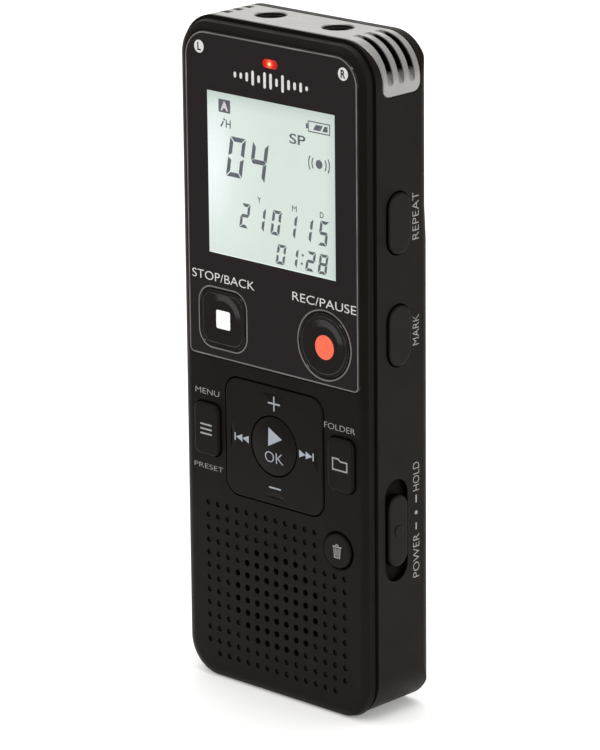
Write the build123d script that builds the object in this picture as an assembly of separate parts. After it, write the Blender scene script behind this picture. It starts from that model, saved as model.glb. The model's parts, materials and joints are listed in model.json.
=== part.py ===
from build123d import *
import math
import os

# Handheld voice recorder, standing on its bottom end. Millimetres.
# X to the right seen from the front, Y from front to back, Z up, z = 0 at the bottom end.

# ---- case ----
WIDTH = 38.0
HEIGHT = 101.5
DEPTH = 12.8
CORNER_R = 6.1
REAR_LOW_Z = 0.3
FACE_Y = -6.1
BACK_Y = FACE_Y + DEPTH
BACK_EDGE_R = 0.5
LONG_EDGE_R = 1.7
BELLY = 0.3
BELLY_ZS = (71.5, 76.3)
BELLY_BACK_Y = BACK_Y + BELLY
WALL = 1.6
FACE_PLATE = 1.5
PLATE_BACK_Y = FACE_Y + FACE_PLATE
PARTING_Y = FACE_Y + 1.4
PARTING_GROOVE = (0.22, 0.62)
FRONT_HALF_WIDTH = 18.5
FRONT_TOP_Z = 101.0
FRONT_CORNER_R = 5.6
RIM_DRAFT = 15.5
RIM_SLOPE = (0.7, 0.52)
RIM_CROWN_R = 2.0
RIM_CREASE_R = 0.2
LIP_THICKNESS = 0.6
LIP_GAP = 0.1
LIP_END_Y = -3.4
SIDE_X = WIDTH / 2
INNER_X = SIDE_X - WALL
INNER_BACK_Y = BACK_Y - WALL
GAP = 0.1

# ---- silver band over the top end ----
TRIM_TOP_FRONT_Y = -4.05
TRIM_SIDE_FRONT_Y = -3.05
TRIM_BACK_Y = 4.95
TRIM_LOW_Z = 93.4
TRIM_THICKNESS = 1.0
TRIM_EDGE = 0.2
TRIM_END_R = 1.5
TRIM_SEAM = 0.06
SLOT_WIDTH = 1.22
SLOT_YS = (-1.45, 0.85, 3.1)
SLOT_LOW_Z = 95.1
SLOT_RAMP_X = 12.2
SLOT_OPEN_X = 13.5
SLOT_LOW_RAMP = 1.9
PORT_X = 12.0
PORT_LOW_Z = 94.5
PORT_YS = (-2.4, 4.05)
MESH_THICKNESS = 0.45

# ---- jacks in the top end ----
JACK_X = 6.6
JACK_Y = 1.12
JACK_BORE_R = 1.8
JACK_NOSE_R = 2.1
JACK_NOSE_TOP = HEIGHT - 0.45
JACK_HOLE_R = 2.16
JACK_COUNTERSINK_R = 2.48
JACK_BORE_DEPTH = 13.0
JACK_BODY_WIDTH = 6.0
JACK_BODY_LOW_Z = 87.0

# ---- glossy front panel ----
PANEL_HALF_WIDTH = 17.05
PANEL_LOW_Z = 50.4
PANEL_TOP_Z = 99.5
PANEL_TOP_R = 4.2
PANEL_LOW_R = 1.0
PANEL_THICKNESS = 1.1
PANEL_PROUD = 0.15
PANEL_BEVEL = 0.25
PANEL_FRONT_Y = FACE_Y - PANEL_PROUD
PANEL_BACK_Y = PANEL_FRONT_Y + PANEL_THICKNESS
PANEL_SEAT_GAP = 0.08
PANEL_OPENING_BEVEL = 0.12
WINDOW_HALF_WIDTH = 12.9
WINDOW_LOW_Z = 66.1
WINDOW_TOP_Z = 91.1
WINDOW_R = 0.5
LED_Z = 96.35
LED_LENGTH = 3.1
LED_HEIGHT = 1.4

# ---- keys on the front ----
KEY_TRAVEL = 0.3
KEY_GAP = 0.2
FLANGE_FRONT_Y = PLATE_BACK_Y + 0.05
FLANGE_THICKNESS = 0.6
SWITCH_TOP_Y = -3.4
POST_END_Y = SWITCH_TOP_Y - KEY_TRAVEL - 0.05
POST_R = 1.2
STOP_AT = (-10.03, 56.6)
STOP_WIDTH = 8.9
STOP_HEIGHT = 8.5
STOP_R = 2.2
REC_AT = (10.29, 56.5)
REC_R = 4.8
PANEL_KEY_RING_RAISE = 0.08
PANEL_KEY_RAISE = 0.2
PANEL_KEY_RING = 0.42
PANEL_KEY_EDGE_R = 0.18
PANEL_KEY_DISH_R = 30.0
PANEL_KEY_DISH = 0.25
MENU_AT = (-13.5, 39.1)
FOLDER_AT = (13.5, 39.1)
SIDE_KEY_WIDTH = 5.0
SIDE_KEY_HEIGHT = 8.1
SIDE_KEY_R = 1.3
SIDE_KEY_RAISE = 0.55
SIDE_KEY_FLANGE = 0.5
DELETE_AT = (12.6, 25.8)
DELETE_R = 2.6
DELETE_RAISE = 0.3
DELETE_RIM = 0.22
NAV_AT = (0.0, 39.1)
NAV_WIDTH = 19.5
NAV_HEIGHT = 18.0
NAV_R = 2.4
NAV_RAISE = 0.15
NAV_GAP = 0.25
NAV_FLANGE = 0.55
NAV_TILT = math.radians(1.3)
NAV_LIFT = (NAV_WIDTH + NAV_HEIGHT) / 2 * math.sin(NAV_TILT)
NAV_FLANGE_YS = (PLATE_BACK_Y + NAV_LIFT + 0.05, -3.7)
NAV_SCOOP_R = 20.0
NAV_SCOOP_DEPTH = 0.25
NAV_SCOOP_SHIFT = 2.2
NAV_SCOOP_EDGE = 1.0
OK_R = 4.45
OK_RAISE = 0.35
OK_DOME = 0.25
OK_FLANGE_R = 5.1
OK_RECESS_R = 5.6
OK_RECESS_Y = -4.9
ROCKER_RS = (5.25, 5.95)
ROCKER_YS = (-3.4, -2.7)

# ---- loudspeaker and its grille ----
GRILLE_PITCH = 1.97
GRILLE_COLUMNS = 15
GRILLE_ROWS = 13
GRILLE_TOP_Z = 27.56
HOLE_R = 0.5
DIMPLE_R = 0.45
DIMPLE_DEPTH = 0.25
OPEN_ROWS = {3: 2, 4: 3, 5: 4, 6: 4, 7: 4, 8: 4, 9: 3, 10: 2}
SPEAKER_Z = GRILLE_TOP_Z - 6.5 * GRILLE_PITCH
SPEAKER_R = 10.2
SPEAKER_CONE_R = 8.6
SPEAKER_FRAME_YS = (-3.95, -1.2)
MAGNET_R = 5.5
MAGNET_YS = (-1.2, 1.6)

# ---- buttons and slider on the right side ----
SIDE_BUTTON_WIDTH = 4.7
SIDE_BUTTON_LENGTH = 9.1
SIDE_BUTTON_RAISE = 0.4
REPEAT_Z = 74.95
MARK_Z = 58.3
SIDE_BUTTON_Y = 0.0
SIDE_FLANGE_MARGIN = 0.7
SIDE_SWITCH_TOP_X = 16.4
HOLD_Z = 28.95
HOLD_Y = -0.55
HOLD_RECESS_WIDTH = 4.9
HOLD_RECESS_LENGTH = 15.6
HOLD_RECESS_DEPTH = 0.7
HOLD_WIDTH = 4.1
HOLD_LENGTH = 10.9
HOLD_RAISE = 0.45
HOLD_TRAVEL = 2.1
HOLD_STEM = (2.0, 4.0)
HOLD_FOOT = (4.2, 9.6)
NUB_R = 0.9
NUB_RAISE = 0.15
LEVER_SIZE = (1.0, 1.2)
SLIDE_SWITCH_X = (12.6, 15.6)
SLIDE_SWITCH_HALF_LENGTH = 3.8

# ---- circuit board, battery and fixings ----
BOARD_YS = (-2.4, -1.4)
BOARD_HALF_WIDTH = 16.2
BOARD_LOW_Z = 25.6
BOARD_SHOULDER_Z = 93.2
BOARD_TONGUE = (11.0, 98.6)
BOARD_TAB = (9.9, 21.5)
CASE_SCREWS_AT = ((-14.6, 5.3), (14.6, 5.3), (-15.2, 47.4), (15.2, 47.4))
BOARD_SCREWS_AT = ((0.0, 27.6), (0.0, 57.0))
BOSS_R = 1.7
BOSS_MEET_Y = -0.5
PILOT_R = 0.75
SCREW_R = 0.7
SCREW_PASS_R = 1.0
SCREW_HEAD_R = 1.5
SCREW_HEAD_HEIGHT = 0.9
SCREW_HEAD_SEAT_Y = BACK_Y - 1.2
BOARD_POST_R = 1.3
BATTERY_HALF_WIDTH = 12.9
BATTERY_ZS = (36.0, 84.0)
BATTERY_YS = (0.0, 4.4)
LCD_HALF_WIDTH = 13.1
LCD_ZS = (65.9, 91.3)
LCD_FRONT_Y = PANEL_BACK_Y + 0.05
LCD_GLASS = 1.05
LIGHT_GUIDE = 0.95
USB_Z = 28.5
USB_Y = -0.1
USB_SIZE = (5.5, 2.6, 7.6)
MIC_CAPSULE_R = 2.0
MIC_CAPSULE_DEPTH = 1.5
MIC_BOOT_R = 2.8
MIC_BOOT_DEPTH = 2.5
MIC_BOOT_OUT = 3.65


# ---- helpers ----
def front_prism(outline, y_front, y_back):
    """Solid of an outline drawn in X and Z, from y_front back to y_back."""
    plane = Plane(origin=(0, y_back, 0), x_dir=(1, 0, 0), z_dir=(0, -1, 0))
    return extrude(plane * outline, amount=y_back - y_front)


def side_prism(outline, x_low, x_high):
    """Solid of an outline drawn in Y and Z, from x_low out to x_high."""
    plane = Plane(origin=(x_low, 0, 0), x_dir=(0, 1, 0), z_dir=(1, 0, 0))
    return extrude(plane * outline, amount=x_high - x_low)


def block(xs, ys, zs):
    """Box between two values on each axis."""
    size = (xs[1] - xs[0], ys[1] - ys[0], zs[1] - zs[0])
    middle = ((xs[0] + xs[1]) / 2, (ys[0] + ys[1]) / 2, (zs[0] + zs[1]) / 2)
    return Pos(*middle) * Box(*size)


def y_rod(at, radius, y_front, y_back):
    """Round bar along Y at (x, z)."""
    return front_prism(Pos(*at) * Circle(radius), y_front, y_back)


def rounded(at, width, height, radius):
    """Rounded rectangle round a centre."""
    return Pos(*at) * RectangleRounded(width, height, radius)


def case_outline(inset=0.0):
    """Front view of the rear half of the case, made smaller all round by the inset."""
    middle = (0, (HEIGHT + REAR_LOW_Z) / 2)
    height = HEIGHT - REAR_LOW_Z
    return rounded(middle, WIDTH - 2 * inset, height - 2 * inset, CORNER_R - inset)


def lid_outline():
    """Front view of the front half at its widest, where it meets the rear half."""
    return rounded((0, FRONT_TOP_Z / 2), 2 * FRONT_HALF_WIDTH, FRONT_TOP_Z, FRONT_CORNER_R)


def panel_outline(grow=0.0):
    """Front view of the glossy panel: large radii at the top, small ones at the bottom."""
    height = PANEL_TOP_Z - PANEL_LOW_Z
    sheet = Rectangle(2 * (PANEL_HALF_WIDTH + grow), height + 2 * grow)
    sheet = fillet(sheet.vertices().group_by(Axis.Y)[-1], PANEL_TOP_R + grow)
    sheet = fillet(sheet.vertices().group_by(Axis.Y)[0], PANEL_LOW_R + grow)
    return Pos(0, (PANEL_TOP_Z + PANEL_LOW_Z) / 2) * sheet


def front_face(solid):
    return solid.faces().sort_by(Axis.Y)[0]


def back_face(solid):
    return solid.faces().sort_by(Axis.Y)[-1]


def mirrored(solid):
    """The same solid on the other side of the middle plane."""
    return solid.mirror(Plane.YZ)


# ---- outlines shared by a key and its opening ----
def stop_outline(grow=0.0):
    return rounded(STOP_AT, STOP_WIDTH + 2 * grow, STOP_HEIGHT + 2 * grow, STOP_R + grow)


def rec_outline(grow=0.0):
    return Pos(*REC_AT) * Circle(REC_R + grow)


def side_key_outline(at, grow=0.0):
    return rounded(at, SIDE_KEY_WIDTH + 2 * grow, SIDE_KEY_HEIGHT + 2 * grow, SIDE_KEY_R + grow)


def nav_outline(grow=0.0):
    return rounded(NAV_AT, NAV_WIDTH + 2 * grow, NAV_HEIGHT + 2 * grow, NAV_R + grow)


def led_outline(grow=0.0):
    return Pos(0, LED_Z) * SlotOverall(LED_LENGTH + 2 * grow, LED_HEIGHT + 2 * grow)


def window_outline(grow=0.0):
    height = WINDOW_TOP_Z - WINDOW_LOW_Z
    middle = (WINDOW_TOP_Z + WINDOW_LOW_Z) / 2
    width = 2 * WINDOW_HALF_WIDTH
    return rounded((0, middle), width + 2 * grow, height + 2 * grow, WINDOW_R + grow)


def side_button_outline(z, grow=0.0):
    """Obround in Y and Z, long way up."""
    slot = SlotOverall(SIDE_BUTTON_LENGTH + 2 * grow, SIDE_BUTTON_WIDTH + 2 * grow)
    return Pos(SIDE_BUTTON_Y, z) * Rot(0, 0, 90) * slot


def upright_slot(y, z, length, width):
    return Pos(y, z) * Rot(0, 0, 90) * SlotOverall(length, width)


# ---- case ----
def grille_cells():
    """Every place of the grille: (x, z, open through)."""
    middle = GRILLE_COLUMNS // 2
    cells = []
    for row in range(GRILLE_ROWS):
        for column in range(GRILLE_COLUMNS):
            under_delete_key = row <= 2 and column >= 12
            case_corner = row == GRILLE_ROWS - 1 and column in (0, GRILLE_COLUMNS - 1)
            if under_delete_key or case_corner:
                continue
            x = (column - middle) * GRILLE_PITCH
            z = GRILLE_TOP_Z - row * GRILLE_PITCH
            is_open = row in OPEN_ROWS and abs(column - middle) <= OPEN_ROWS[row]
            cells.append((x, z, is_open))
    return cells


def grille_cut():
    """The through holes and the blind dimples, as one group of bars."""
    bars = []
    for x, z, is_open in grille_cells():
        if is_open:
            bars.append(y_rod((x, z), HOLE_R, FACE_Y - 1, PLATE_BACK_Y + 1))
        else:
            bars.append(y_rod((x, z), DIMPLE_R, FACE_Y - 1, FACE_Y + DIMPLE_DEPTH))
    return bars


def lid():
    """Front plate with drafted sides, a crease all round and a softly falling border."""
    plane = Plane(origin=(0, PARTING_Y, 0), x_dir=(1, 0, 0), z_dir=(0, -1, 0))
    plate = extrude(plane * lid_outline(), amount=PARTING_Y - FACE_Y, taper=RIM_DRAFT)
    face = front_face(plate)
    plate = chamfer(face.edges(), *RIM_SLOPE, reference=face)
    crease_y = FACE_Y + RIM_SLOPE[1] * math.cos(math.radians(RIM_DRAFT))
    crease = plate.edges().filter_by_position(Axis.Y, crease_y - 0.05, crease_y + 0.05)
    plate = fillet(crease, RIM_CREASE_R)
    return fillet(front_face(plate).edges(), RIM_CROWN_R)


def front_shell():
    shell = lid() + front_prism(case_outline(WALL + LIP_GAP), PARTING_Y, PLATE_BACK_Y)
    lip = case_outline(WALL + LIP_GAP) - case_outline(WALL + LIP_GAP + LIP_THICKNESS)
    shell += front_prism(lip, PLATE_BACK_Y, LIP_END_Y)
    for at in CASE_SCREWS_AT:
        shell += y_rod(at, BOSS_R, PLATE_BACK_Y, BOSS_MEET_Y)
        shell -= y_rod(at, PILOT_R, PLATE_BACK_Y, BOSS_MEET_Y)
    for at in BOARD_SCREWS_AT:
        shell += y_rod(at, BOARD_POST_R, PLATE_BACK_Y, BOARD_YS[0])
        shell -= y_rod(at, PILOT_R, PLATE_BACK_Y, BOARD_YS[0])
    shell -= front_prism(panel_outline(PANEL_SEAT_GAP), FACE_Y - 1, PANEL_BACK_Y)
    lcd_opening = rounded(
        (0, sum(LCD_ZS) / 2),
        2 * (LCD_HALF_WIDTH + 2 * GAP),
        LCD_ZS[1] - LCD_ZS[0] + 4 * GAP,
        WINDOW_R,
    )
    openings = [
        lcd_opening,
        led_outline(GAP / 2),
        stop_outline(GAP),
        rec_outline(GAP),
        side_key_outline(MENU_AT, KEY_GAP),
        side_key_outline(FOLDER_AT, KEY_GAP),
        nav_outline(NAV_GAP),
        Pos(*DELETE_AT) * Circle(DELETE_R + KEY_GAP),
    ]
    for outline in openings:
        shell -= front_prism(outline, FACE_Y - 1, PLATE_BACK_Y + 1)
    delete_rim = Pos(DELETE_AT[0], FACE_Y, DELETE_AT[1]) * Rot(-90, 0, 0)
    shell -= delete_rim * Cone(
        DELETE_R + KEY_GAP + DELETE_RIM,
        DELETE_R + KEY_GAP,
        DELETE_RIM,
        align=(Align.CENTER, Align.CENTER, Align.MIN),
    )
    return shell - grille_cut()


def trim_zone(grow=0.0):
    """Space round the top end that the band fills; its front edge sweeps forward at the top."""
    top_y = TRIM_TOP_FRONT_Y - grow
    side_y = TRIM_SIDE_FRONT_Y - grow
    back_y = TRIM_BACK_Y + grow
    low_z = TRIM_LOW_Z - grow
    bend_z = HEIGHT - CORNER_R
    above_z = HEIGHT + WALL
    sweep = TangentArc((side_y, bend_z), (top_y, HEIGHT), tangent=(0, 1))
    rest = Polyline(
        (top_y, HEIGHT),
        (top_y, above_z),
        (back_y, above_z),
        (back_y, low_z),
        (side_y, low_z),
        (side_y, bend_z),
    )
    profile = make_face([sweep, rest])
    profile = fillet(profile.vertices().group_by(Axis.Y)[0], TRIM_END_R + grow)
    return side_prism(profile, -WIDTH, WIDTH)


def port_slots():
    """Three sound slots over each top corner, with a ramp at each end."""
    core = case_outline(TRIM_THICKNESS + MESH_THICKNESS / 2)
    reach = HEIGHT + 2
    depth = TRIM_THICKNESS + MESH_THICKNESS
    ramp = Polyline(
        (SLOT_RAMP_X, HEIGHT),
        (SLOT_OPEN_X, HEIGHT - depth),
        (SLOT_OPEN_X, SLOT_LOW_Z + SLOT_LOW_RAMP),
        (SIDE_X - depth, SLOT_LOW_Z + SLOT_LOW_RAMP),
        (SIDE_X, SLOT_LOW_Z),
        (SIDE_X, 0),
        (0, 0),
        (0, reach),
        (SLOT_RAMP_X, reach),
        close=True,
    )
    corner = Pos(0, reach / 2) * Rectangle(2 * reach, reach) - make_face(ramp) - core
    slots = []
    for y in SLOT_YS:
        low_r = SLOT_WIDTH / 2
        slot_zone = side_prism(
            Pos(y, SLOT_LOW_Z + low_r) * Circle(low_r)
            + Pos(y, (SLOT_LOW_Z + low_r + reach) / 2)
            * Rectangle(SLOT_WIDTH, reach - SLOT_LOW_Z - low_r),
            SLOT_RAMP_X,
            SIDE_X + 1,
        )
        slot = front_prism(corner, y - SLOT_WIDTH, y + SLOT_WIDTH) & slot_zone
        slots.append(slot)
        slots.append(mirrored(slot))
    return slots


def outer_rim(band):
    """Edges of the band's outer surface: along both of its sides and across its lower ends."""
    straight_back = band.edges().filter_by(Axis.Y)
    rim = []
    for edge in band.edges():
        middle = edge.position_at(0.5)
        reach_x = max(abs(middle.X) - SIDE_X + CORNER_R, 0)
        reach_z = max(middle.Z - HEIGHT + CORNER_R, 0)
        on_surface = math.hypot(reach_x, reach_z) > CORNER_R - GAP / 10
        seam = edge in straight_back and middle.Z > TRIM_LOW_Z + GAP
        if on_surface and not seam:
            rim.append(edge)
    return rim


def top_trim():
    band = front_prism(case_outline(), TRIM_TOP_FRONT_Y, TRIM_BACK_Y) & trim_zone()
    band = chamfer(outer_rim(band), TRIM_EDGE)
    band -= front_prism(case_outline(TRIM_THICKNESS), TRIM_TOP_FRONT_Y, TRIM_BACK_Y)
    for x in (-JACK_X, JACK_X):
        band -= Pos(x, JACK_Y, HEIGHT) * Cylinder(JACK_HOLE_R, 4 * TRIM_THICKNESS)
        sink_depth = JACK_COUNTERSINK_R - JACK_HOLE_R
        sink = Cone(JACK_HOLE_R, JACK_COUNTERSINK_R, sink_depth)
        band -= Pos(x, JACK_Y, HEIGHT - sink_depth / 2) * sink
    return band - port_slots()


def port_zone(shrink=0.0):
    """Block over the right-hand top corner behind the sound slots."""
    xs = (PORT_X + shrink, SIDE_X + 1)
    ys = (PORT_YS[0] + shrink, PORT_YS[1] - shrink)
    return block(xs, ys, (PORT_LOW_Z + shrink, HEIGHT + 1))


def mic_mesh():
    """Bent mesh patch under the slots of the right-hand corner."""
    sheet = case_outline(TRIM_THICKNESS + GAP / 4)
    sheet -= case_outline(TRIM_THICKNESS + GAP / 4 + MESH_THICKNESS)
    return front_prism(sheet, *PORT_YS) & port_zone(GAP / 2)


def plan_section(z, y_back):
    """Section across the case at a height, with its two long back edges rounded."""
    sheet = Rectangle(WIDTH, y_back - PARTING_Y)
    sheet = fillet(sheet.vertices().group_by(Axis.Y)[-1], LONG_EDGE_R)
    return Pos(0, (y_back + PARTING_Y) / 2, z) * sheet


def rounded_back():
    """Upright bar with rounded long edges: a slight belly below, a little thinner above."""
    belly_low, belly_top = BELLY_ZS
    low = extrude(plan_section(-1, BELLY_BACK_Y), amount=belly_low + 1)
    step = loft([plan_section(belly_low, BELLY_BACK_Y), plan_section(belly_top, BACK_Y)])
    top = extrude(plan_section(belly_top, BACK_Y), amount=HEIGHT + 1 - belly_top)
    return low + step + top


def tub_blank(y_back):
    blank = front_prism(case_outline(), PARTING_Y, y_back)
    return fillet(back_face(blank).edges(), BACK_EDGE_R)


def rear_shell():
    belly_zone = block((-SIDE_X, SIDE_X), (PARTING_Y, BELLY_BACK_Y), (0, BELLY_ZS[1]))
    tub = tub_blank(BACK_Y) + (tub_blank(BELLY_BACK_Y) & belly_zone)
    tub &= rounded_back()
    tub -= front_prism(case_outline(WALL), PARTING_Y, INNER_BACK_Y)
    groove_width, groove_depth = PARTING_GROOVE
    groove = case_outline() - case_outline(groove_depth)
    tub -= front_prism(groove, PARTING_Y, PARTING_Y + groove_width)
    band_recess = case_outline(-WALL) - case_outline(TRIM_THICKNESS)
    band_recess = front_prism(band_recess, PARTING_Y, BACK_Y)
    tub -= band_recess & trim_zone(TRIM_SEAM)
    port = port_zone() - front_prism(case_outline(WALL + GAP), PARTING_Y, BACK_Y)
    tub -= [port, mirrored(port)]
    for x in (-JACK_X, JACK_X):
        tub -= Pos(x, JACK_Y, HEIGHT) * Cylinder(JACK_HOLE_R, 4 * WALL)
    tub -= side_button_openings()
    tub -= usb_opening()
    for at in CASE_SCREWS_AT:
        tub += y_rod(at, BOSS_R, BOSS_MEET_Y, INNER_BACK_Y)
        tub -= y_rod(at, SCREW_PASS_R, BOSS_MEET_Y, BELLY_BACK_Y)
        tub -= y_rod(at, SCREW_HEAD_R + GAP, SCREW_HEAD_SEAT_Y, BELLY_BACK_Y)
    return tub


def side_button_openings():
    """Openings of the two side buttons, and the slider's recess and slot, in the right wall."""
    cuts = []
    for z in (REPEAT_Z, MARK_Z):
        cuts.append(side_prism(side_button_outline(z, KEY_GAP), INNER_X - 1, SIDE_X + 1))
    recess = upright_slot(HOLD_Y, HOLD_Z, HOLD_RECESS_LENGTH, HOLD_RECESS_WIDTH)
    cuts.append(side_prism(recess, SIDE_X - HOLD_RECESS_DEPTH, SIDE_X + 1))
    stem_width, stem_length = HOLD_STEM
    stem_slot = Pos(HOLD_Y, HOLD_Z) * Rectangle(
        stem_width + 2 * GAP, stem_length + 2 * (HOLD_TRAVEL + GAP)
    )
    cuts.append(side_prism(stem_slot, INNER_X - 1, SIDE_X))
    return cuts


def usb_opening():
    """Mouth of the data socket in the left wall."""
    mouth = rounded((USB_Y, USB_Z), USB_SIZE[1] + 2 * GAP, USB_SIZE[2] + 2 * GAP, 0.8)
    return side_prism(mouth, -SIDE_X - 1, -INNER_X + 1)


# ---- front panel ----
def flared(outline, bevel):
    """Cutter that bevels the front edge of an opening in the panel."""
    plane = Plane(origin=(0, PANEL_FRONT_Y + bevel, 0), x_dir=(1, 0, 0), z_dir=(0, -1, 0))
    return extrude(plane * outline, amount=2 * bevel, taper=-45)


def front_panel():
    sheet = front_prism(panel_outline(), PANEL_FRONT_Y, PANEL_BACK_Y)
    sheet = chamfer(front_face(sheet).edges(), PANEL_BEVEL)
    for outline in (window_outline(), led_outline(GAP / 2)):
        sheet -= front_prism(outline, PANEL_FRONT_Y - 1, PANEL_BACK_Y + 1)
    for outline in (stop_outline, rec_outline):
        sheet -= front_prism(outline(GAP), PANEL_FRONT_Y - 1, PANEL_BACK_Y + 1)
        sheet -= flared(outline(GAP), PANEL_OPENING_BEVEL)
    return sheet


def display_window():
    return front_prism(window_outline(), PANEL_FRONT_Y, PANEL_BACK_Y)


def led_lens():
    lens = front_prism(led_outline(), PANEL_FRONT_Y, PLATE_BACK_Y + 0.4)
    return fillet(front_face(lens).edges(), 0.25)


# ---- keys ----
def keyed(cap, flange_outline, at):
    """Adds the holding flange and the post that presses the switch."""
    key = cap + front_prism(flange_outline, FLANGE_FRONT_Y, FLANGE_FRONT_Y + FLANGE_THICKNESS)
    return key + y_rod(at, POST_R, FLANGE_FRONT_Y, POST_END_Y)


def panel_key(outline, middle_outline, flange_outline, at):
    """Key in the glossy panel: a low outer ring round a raised middle with a shallow dish."""
    ring = front_prism(outline, PANEL_FRONT_Y - PANEL_KEY_RING_RAISE, FLANGE_FRONT_Y)
    ring = chamfer(front_face(ring).edges(), PANEL_KEY_RING_RAISE)
    top_y = PANEL_FRONT_Y - PANEL_KEY_RAISE
    middle = front_prism(middle_outline, top_y, FLANGE_FRONT_Y)
    middle = fillet(front_face(middle).edges(), PANEL_KEY_EDGE_R)
    dish = Pos(at[0], top_y - PANEL_KEY_DISH_R + PANEL_KEY_DISH, at[1]) * Sphere(PANEL_KEY_DISH_R)
    return keyed(ring + (middle - dish), flange_outline, at)


def stop_button():
    return panel_key(stop_outline(), stop_outline(-PANEL_KEY_RING), stop_outline(0.7), STOP_AT)


def rec_button():
    return panel_key(rec_outline(), rec_outline(-PANEL_KEY_RING), rec_outline(0.7), REC_AT)


def side_key(at):
    """Raised upright key beside the navigation pad, with softened edges."""
    cap = front_prism(side_key_outline(at), FACE_Y - SIDE_KEY_RAISE, FLANGE_FRONT_Y)
    cap = fillet(front_face(cap).edges(), 0.3)
    return keyed(cap, side_key_outline(at, SIDE_KEY_FLANGE), at)


def delete_button():
    cap = y_rod(DELETE_AT, DELETE_R, FACE_Y - DELETE_RAISE, FLANGE_FRONT_Y)
    cap = fillet(front_face(cap).edges(), 0.25)
    return keyed(cap, Pos(*DELETE_AT) * Circle(DELETE_R + 0.8), DELETE_AT)


def nav_scoop(turn, half_span):
    """Shallow scoop for a thumb near one edge of the pad, cut off straight on its outer side."""
    edge = half_span - NAV_SCOOP_EDGE
    surface_y = FACE_Y - NAV_RAISE
    ball_y = surface_y - NAV_SCOOP_R + NAV_SCOOP_DEPTH
    ball = Pos(0, ball_y, edge + NAV_SCOOP_SHIFT) * Sphere(NAV_SCOOP_R)
    inside = block((-NAV_WIDTH, NAV_WIDTH), (surface_y - 1, surface_y + 1), (0, edge))
    return Pos(NAV_AT[0], 0, NAV_AT[1]) * Rot(0, turn, 0) * (ball & inside)


def nav_pad():
    pad = front_prism(nav_outline(), FACE_Y - NAV_RAISE, NAV_FLANGE_YS[1])
    pad = fillet(front_face(pad).edges(), 0.2)
    pad += front_prism(nav_outline(NAV_FLANGE), *NAV_FLANGE_YS)
    pad -= y_rod(NAV_AT, OK_R + NAV_GAP, FACE_Y - 1, 0)
    pad -= y_rod(NAV_AT, OK_RECESS_R, OK_RECESS_Y, 0)
    for turn in (0, 90, 180, 270):
        upright = turn % 180 == 0
        pad -= nav_scoop(turn, (NAV_HEIGHT if upright else NAV_WIDTH) / 2)
    return pad


def nav_rocker_ring():
    """Ring that the pad rocks on; it tips up and down, and the pad tips sideways on it."""
    ring = y_rod(NAV_AT, ROCKER_RS[1], *ROCKER_YS)
    return ring - y_rod(NAV_AT, ROCKER_RS[0], *ROCKER_YS)


def ok_button():
    cap = y_rod(NAV_AT, OK_R, FACE_Y - OK_RAISE, FLANGE_FRONT_Y)
    dome_r = (OK_R**2 + OK_DOME**2) / (2 * OK_DOME)
    cap &= Pos(NAV_AT[0], FACE_Y - OK_RAISE + dome_r, NAV_AT[1]) * Sphere(dome_r)
    return keyed(cap, Pos(*NAV_AT) * Circle(OK_FLANGE_R), NAV_AT)


def side_button(z):
    """Obround button in the right wall."""
    cap = side_prism(side_button_outline(z), INNER_X - 0.05, SIDE_X + SIDE_BUTTON_RAISE)
    outer = cap.faces().sort_by(Axis.X)[-1]
    cap = fillet(outer.edges(), 0.3)
    flange_x = INNER_X - 0.05
    flange = side_button_outline(z, SIDE_FLANGE_MARGIN)
    return cap + side_prism(flange, flange_x - FLANGE_THICKNESS, flange_x)


def hold_slider():
    floor_x = SIDE_X - HOLD_RECESS_DEPTH + 0.05
    plan = upright_slot(HOLD_Y, HOLD_Z, HOLD_LENGTH, HOLD_WIDTH)
    cap = side_prism(plan, floor_x, SIDE_X + HOLD_RAISE)
    cap = fillet(cap.faces().sort_by(Axis.X)[-1].edges(), 0.35)
    nub = side_prism(Pos(HOLD_Y, HOLD_Z) * Circle(NUB_R), SIDE_X, SIDE_X + HOLD_RAISE + NUB_RAISE)
    cap += fillet(nub.faces().sort_by(Axis.X)[-1].edges(), NUB_RAISE)
    foot_x = INNER_X - 0.05
    stem = Pos(HOLD_Y, HOLD_Z) * Rectangle(*HOLD_STEM)
    cap += side_prism(stem, foot_x, floor_x)
    foot = Pos(HOLD_Y, HOLD_Z) * Rectangle(*HOLD_FOOT)
    foot = side_prism(foot, foot_x - FLANGE_THICKNESS, foot_x)
    pocket = Pos(HOLD_Y, HOLD_Z) * Rectangle(LEVER_SIZE[0] + GAP, LEVER_SIZE[1] + GAP)
    return cap + foot - side_prism(pocket, foot_x - FLANGE_THICKNESS, foot_x)


def slide_switch_lever():
    bar = Pos(HOLD_Y, HOLD_Z) * Rectangle(*LEVER_SIZE)
    return side_prism(bar, SLIDE_SWITCH_X[1] - 0.7, INNER_X - 0.15)


def slide_switch_body():
    half = SLIDE_SWITCH_HALF_LENGTH
    can = block(SLIDE_SWITCH_X, (BOARD_YS[1], 0.8), (HOLD_Z - half, HOLD_Z + half))
    track = Pos(HOLD_Y, HOLD_Z) * Rectangle(
        LEVER_SIZE[0] + 0.2, LEVER_SIZE[1] + 2 * HOLD_TRAVEL + 0.4
    )
    return can - side_prism(track, SLIDE_SWITCH_X[1] - 0.9, SLIDE_SWITCH_X[1] + 1)


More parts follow.
